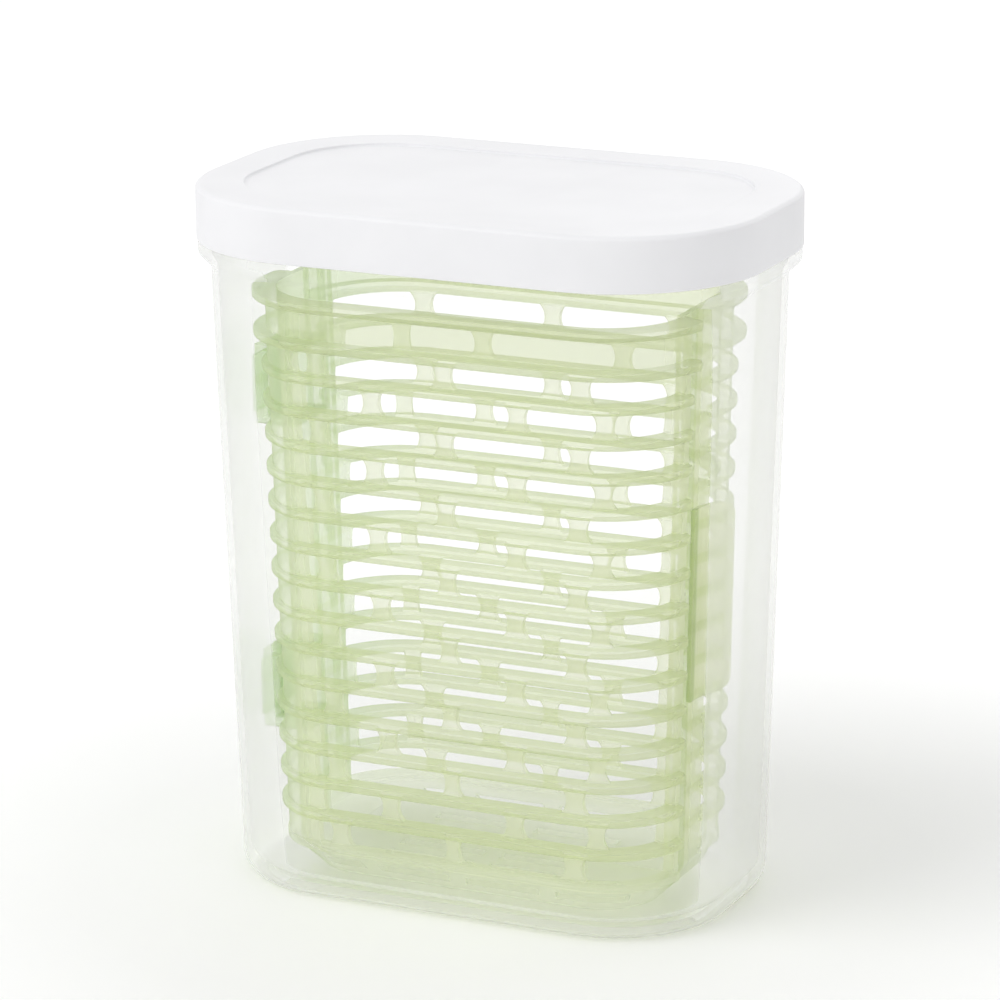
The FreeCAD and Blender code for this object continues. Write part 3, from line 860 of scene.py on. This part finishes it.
def mottle(tree, scale, detail):
    """Slow change over the piece, round 0.5."""
    return node(tree, "ShaderNodeTexNoise", {"Vector": object_coords(tree), "Scale": scale,
                                             "Detail": detail}).outputs["Fac"]


def mixed_shaders(tree, factor, first, second):
    return node(tree, "ShaderNodeMixShader", {0: factor, 1: first, 2: second}).outputs["Shader"]


def fine_bump(tree, scale, strength):
    """Faint unevenness of a moulded surface."""
    return node(tree, "ShaderNodeBump", {"Height": mottle(tree, scale, 3.0), "Strength": strength,
                                         "Distance": 0.0002}).outputs["Normal"]


def white_plastic():
    m, tree, output = material("white_plastic")
    noise = mottle(tree, 30.0, 4.0)
    color = ramp(tree, noise, [(0.3, srgb(240, 240, 242)), (0.7, srgb(245, 245, 247))])
    rough = mapped(tree, noise, 0.0, 1.0, 0.38, 0.46)
    shader = node(tree, "ShaderNodeBsdfPrincipled", {"Base Color": color, "Roughness": rough,
                                                    "Specular IOR Level": 0.3,
                                                    "Normal": fine_bump(tree, 900.0, 0.05)})
    tree.links.new(shader.outputs["BSDF"], output.inputs["Surface"])
    return m


def clear_plastic():
    """Frosted clear plastic: mostly see-through, hazier where it's seen edge-on, softly glossy on top."""
    m, tree, output = material("clear_plastic")
    noise = mottle(tree, 14.0, 2.0)
    facing = node(tree, "ShaderNodeLayerWeight", {"Blend": 0.35}).outputs["Facing"]
    haze = mapped(tree, facing, 0.35, 1.0, 0.05, 0.2)
    amount = math_node(tree, "MULTIPLY", haze, mapped(tree, noise, 0.0, 1.0, 0.9, 1.1))
    color = ramp(tree, noise, [(0.3, srgb(239, 239, 243)), (0.7, srgb(246, 245, 249))])
    body = node(tree, "ShaderNodeBsdfPrincipled", {"Base Color": color, "Roughness": 0.45, "Alpha": amount,
                                                  "Specular IOR Level": 0.3})
    gloss = node(tree, "ShaderNodeBsdfGlossy", {"Color": (1, 1, 1, 1), "Roughness": 0.3,
                                                "Normal": fine_bump(tree, 260.0, 0.03)})
    fresnel = node(tree, "ShaderNodeFresnel", {"IOR": 1.3}).outputs["Fac"]
    sheen = math_node(tree, "MULTIPLY", fresnel, 0.4)
    mix = mixed_shaders(tree, sheen, body.outputs["BSDF"], gloss.outputs["BSDF"])
    tree.links.new(mix, output.inputs["Surface"])
    return m


# Where the green changes, in metres, each over a short range
FIN_SHADE = (0.0012, 0.0018)
BAND_SHADE = (0.158, 0.1585)
MINT_END = (-0.064, -0.044)
# Painted bounce light from the floor: the green is paler towards the base
BASE_PAINTED_LIGHT = (0.009, 0.018)
FLOOR_BELOW = (0.018, 0.02)
# Painted shade where the latch begins: a dark band beside the seam, from LATCH_END outwards along x
LATCH_ROOT_Y = -0.0058
LATCH_ROOT_PAINTED_SHADE = (0.0018, 0.003)
LATCH_END = (0.05, 0.053)


def green_plastic(name, strength=1.0):
    """Translucent pale green plastic: pale where it's thin, deeper at the fins and the band under the rim,
    mint at the hinge end, and dark where it's seen edge-on. Painted bounce light makes it palest at the base,
    and painted shade darkens it where the latch begins."""
    m, tree, output = material(name)
    split = node(tree, "ShaderNodeSeparateXYZ", {"Vector": object_coords(tree)})
    x, y, z = (split.outputs[axis] for axis in "XYZ")

    normal = node(tree, "ShaderNodeNewGeometry").outputs["Normal"]
    upright = node(tree, "ShaderNodeSeparateXYZ", {"Vector": normal}).outputs["Z"]
    level = mapped(tree, math_node(tree, "ABSOLUTE", upright), 0.9, 0.97, 0.0, 1.0)
    on_floor = math_node(tree, "MULTIPLY", level, mapped(tree, z, *FLOOR_BELOW, 1.0, 0.0))
    grazing = node(tree, "ShaderNodeLayerWeight", {"Blend": 0.4}).outputs["Facing"]
    facing = math_node(tree, "MULTIPLY", grazing, mapped(tree, on_floor, 0.0, 1.0, 1.0, 0.2))

    below = math_node(tree, "SUBTRACT", (RIM_LEVEL - BAND_PITCH) * MM, z)
    from_fin = math_node(tree, "PINGPONG", below, FIN_PITCH / 2 * MM)
    at_fin = mapped(tree, from_fin, *FIN_SHADE, 1.0, 0.0)
    at_band = mapped(tree, z, *BAND_SHADE, 0.0, 0.7)
    deep = math_node(tree, "MAXIMUM", at_fin, at_band)
    mint = mapped(tree, x, *MINT_END, 0.45, 0.0)
    # Painted bounce light from the floor: the base is paler, and is seen through more clearly
    low = mapped(tree, z, *BASE_PAINTED_LIGHT, 0.9, 0.0)
    # Painted shade where the latch tab meets the basket, in a band beside the seam at the latch end
    from_root = math_node(tree, "ABSOLUTE", math_node(tree, "SUBTRACT", y, LATCH_ROOT_Y))
    painted_shade_at_root = mapped(tree, from_root, *LATCH_ROOT_PAINTED_SHADE, 0.85, 0.0)
    root = math_node(tree, "MULTIPLY", painted_shade_at_root, mapped(tree, x, *LATCH_END, 0.0, 1.0))
    edge = mapped(tree, facing, 0.45, 0.85, 0.0, 0.8)

    tint = color_mix(tree, deep, srgb(250, 252, 226), srgb(238, 244, 202))
    # Colours laid over the tint: mint end, painted bounce light at the base, painted shade at the latch's
    # root, deeper green edge-on
    for amount, color in ((mint, srgb(206, 240, 198)), (low, srgb(248, 251, 238)),
                          (root, srgb(196, 216, 134)), (edge, srgb(190, 205, 146))):
        tint = color_mix(tree, amount, tint, color)
    wave = mapped(tree, mottle(tree, 22.0, 3.0), 0.3, 0.7, 0.96, 1.03)
    color = node(tree, "ShaderNodeVectorMath", {0: tint, "Scale": wave}, operation="SCALE").outputs["Vector"]
    cover = mapped(tree, facing, 0.25, 1.0, 0.27 * strength, min(1.0, 0.68 * strength))
    seen_through = color_mix(tree, deep, (0.977, 0.985, 0.955, 1.0), (0.964, 0.977, 0.92, 1.0))
    seen_through = color_mix(tree, low, seen_through, (0.985, 0.99, 0.97, 1.0))
    shader = node(tree, "ShaderNodeBsdfPrincipled", {"Base Color": color, "Roughness": 0.3,
                                                    "Specular IOR Level": 0.4,
                                                    "Normal": fine_bump(tree, 220.0, 0.05)})
    glow = node(tree, "ShaderNodeBsdfTranslucent", {"Color": color})
    lit = mixed_shaders(tree, 0.45, shader.outputs["BSDF"], glow.outputs["BSDF"])
    clear = node(tree, "ShaderNodeBsdfTransparent", {"Color": seen_through})
    mix = mixed_shaders(tree, cover, clear.outputs["BSDF"], lit)
    tree.links.new(mix, output.inputs["Surface"])
    return m


def seal_rubber():
    m, tree, output = material("seal_rubber")
    noise = mottle(tree, 60.0, 4.0)
    color = ramp(tree, noise, [(0.3, srgb(222, 224, 224)), (0.7, srgb(232, 233, 233))])
    shader = node(tree, "ShaderNodeBsdfPrincipled", {"Base Color": color, "Roughness": 0.6,
                                                    "Normal": fine_bump(tree, 700.0, 0.1)})
    tree.links.new(shader.outputs["BSDF"], output.inputs["Surface"])
    return m


WHITE = white_plastic()
CLEAR = clear_plastic()
GREEN = green_plastic("green_plastic")
GREEN_THICK = green_plastic("green_thick", strength=1.9)
SEAL = seal_rubber()

# ---------------------------------------------------------------- assembly
place(skin("container_shell", container_loops()), "container", "clear_plastic", CLEAR, "container")
place(skin("lid_cap", lid_loops()), "lid", "white_plastic", WHITE, "lid")
front = make_half("basket_front_shell", 1, FRONT_ODD, FRONT_EVEN, DRIFT_BESIDE_COLUMN)
place(front, "basket_front_half", "green_plastic", GREEN, "basket_front")
back = make_half("basket_back_shell", -1, BACK_ODD, BACK_EVEN, DRIFT)
back.data.transform(Matrix.Scale(-1, 4, (0, 1, 0)))
back.data.flip_normals()
place(back, "basket_back_half", "green_plastic", GREEN, "basket_back")
for hinge in HINGES:
    place(make_bracket(hinge, -1), "basket_front_half", "green_plastic", GREEN)
    place(make_bracket(hinge, 1), "basket_back_half", "green_plastic", GREEN)
for fin in GUSSET_FINS:
    place(make_gusset(fin), "basket_back_half", "green_plastic", GREEN)
place(make_catch(), "basket_back_half", "green_plastic", GREEN)
place(make_latch(), "latch", "green_plastic", GREEN_THICK, "basket_latch")
for name, finish in (("lid_seal", SEAL), ("hinge_pin_upper", GREEN_THICK), ("hinge_pin_lower", GREEN_THICK)):
    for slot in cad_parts[name].material_slots:
        slot.material = finish


# ---------------------------------------------------------------- stage, lights and camera
PART_MIDDLE = Vector((0, 0, 0.1))
FLOOR_LIFT = (0.0, 0.2)
FLOOR_LIFT_BETWEEN = (0.12, 0.32)


def softbox(name, location, size, power):
    light = bpy.data.lights.new(name, "AREA")
    light.shape = "RECTANGLE"
    light.size, light.size_y = size
    light.energy = power
    obj = bpy.data.objects.new(name, light)
    obj.location = location
    obj.rotation_euler = (PART_MIDDLE - obj.location).to_track_quat("-Z", "Y").to_euler()
    bpy.context.scene.collection.objects.link(obj)


def stage_floor():
    """White paper; the camera sees it lifted a little away from the part, so that only the shadow is grey."""
    mesh = bpy.data.meshes.new("floor")
    reach = 6.0
    mesh.from_pydata([(-reach, -reach, 0), (reach, -reach, 0), (reach, reach, 0), (-reach, reach, 0)], [],
                     [(0, 1, 2, 3)])
    obj = bpy.data.objects.new("floor", mesh)
    obj.location.z = -0.0002
    bpy.context.scene.collection.objects.link(obj)
    m, tree, output = material("floor_paper")
    color = ramp(tree, mottle(tree, 4.0, 2.0), [(0.3, srgb(252, 252, 252)), (0.7, srgb(255, 255, 255))])
    paper = node(tree, "ShaderNodeBsdfPrincipled", {"Base Color": color, "Roughness": 0.6,
                                                   "Specular IOR Level": 0.2})
    away = node(tree, "ShaderNodeVectorMath", {0: object_coords(tree)}, operation="LENGTH").outputs["Value"]
    by_distance = mapped(tree, away, *FLOOR_LIFT_BETWEEN, *FLOOR_LIFT)
    by_camera = node(tree, "ShaderNodeLightPath").outputs["Is Camera Ray"]
    lift = math_node(tree, "MULTIPLY", by_camera, by_distance)
    glow = node(tree, "ShaderNodeEmission", {"Color": (1, 1, 1, 1), "Strength": lift})
    both = node(tree, "ShaderNodeAddShader", {0: paper.outputs["BSDF"], 1: glow.outputs["Emission"]})
    tree.links.new(both.outputs["Shader"], output.inputs["Surface"])
    mesh.materials.append(m)


def studio_world():
    """Soft light from all round; the camera, reflections and clear parts see it as plain white."""
    world = bpy.data.worlds.new("studio")
    bpy.context.scene.world = world
    world.use_nodes = True
    tree = world.node_tree
    tree.nodes.clear()
    output = tree.nodes.new("ShaderNodeOutputWorld")
    soft = node(tree, "ShaderNodeBackground", {"Color": (1, 1, 1, 1), "Strength": 0.68})
    plain = node(tree, "ShaderNodeBackground", {"Color": (1, 1, 1, 1), "Strength": 1.0})
    path = node(tree, "ShaderNodeLightPath").outputs
    seen = math_node(tree, "MAXIMUM", path["Is Camera Ray"], path["Is Glossy Ray"])
    seen = math_node(tree, "MAXIMUM", seen, path["Is Transmission Ray"])
    mix = mixed_shaders(tree, seen, soft.outputs["Background"], plain.outputs["Background"])
    tree.links.new(mix, output.inputs["Surface"])


def photo_camera():
    """Camera as fitted to the photo's outlines; it looks at the middle of the part."""
    azimuth, elevation, roll = (math.radians(a) for a in (24.97, 16.25, -0.46))
    distance = 1.3342
    picture_width = 1000
    focal_length = 4763
    away = Vector((math.sin(azimuth) * math.cos(elevation), -math.cos(azimuth) * math.cos(elevation),
                   math.sin(elevation)))
    right = Vector((math.cos(azimuth), math.sin(azimuth), 0))
    up = away.cross(right)
    right_rolled = right * math.cos(roll) + up * math.sin(roll)
    up_rolled = up * math.cos(roll) - right * math.sin(roll)
    camera = bpy.data.cameras.new("camera")
    camera.sensor_width = 36.0
    camera.lens = focal_length * camera.sensor_width / picture_width
    camera.shift_x = -0.00105
    camera.shift_y = 0.03276
    camera.clip_start = 0.05
    obj = bpy.data.objects.new("camera", camera)
    turn = Matrix((right_rolled, up_rolled, away)).transposed().to_4x4()
    obj.matrix_world = Matrix.Translation(PART_MIDDLE + away * distance) @ turn
    bpy.context.scene.collection.objects.link(obj)
    bpy.context.scene.camera = obj


stage_floor()
studio_world()
softbox("key", (-0.9, -1.0, 1.5), (1.2, 1.2), 12)
softbox("fill", (1.3, -0.9, 0.9), (1.2, 1.2), 1.5)
softbox("back", (0.2, 1.6, 1.0), (1.8, 1.2), 5)
photo_camera()
bpy.context.scene.view_settings.view_transform = "Standard"
# Light passes many thin walls of the basket and the container
bpy.context.scene.cycles.transparent_max_bounces = 64
bpy.context.scene.cycles.diffuse_bounces = 10
bpy.context.scene.cycles.max_bounces = 24
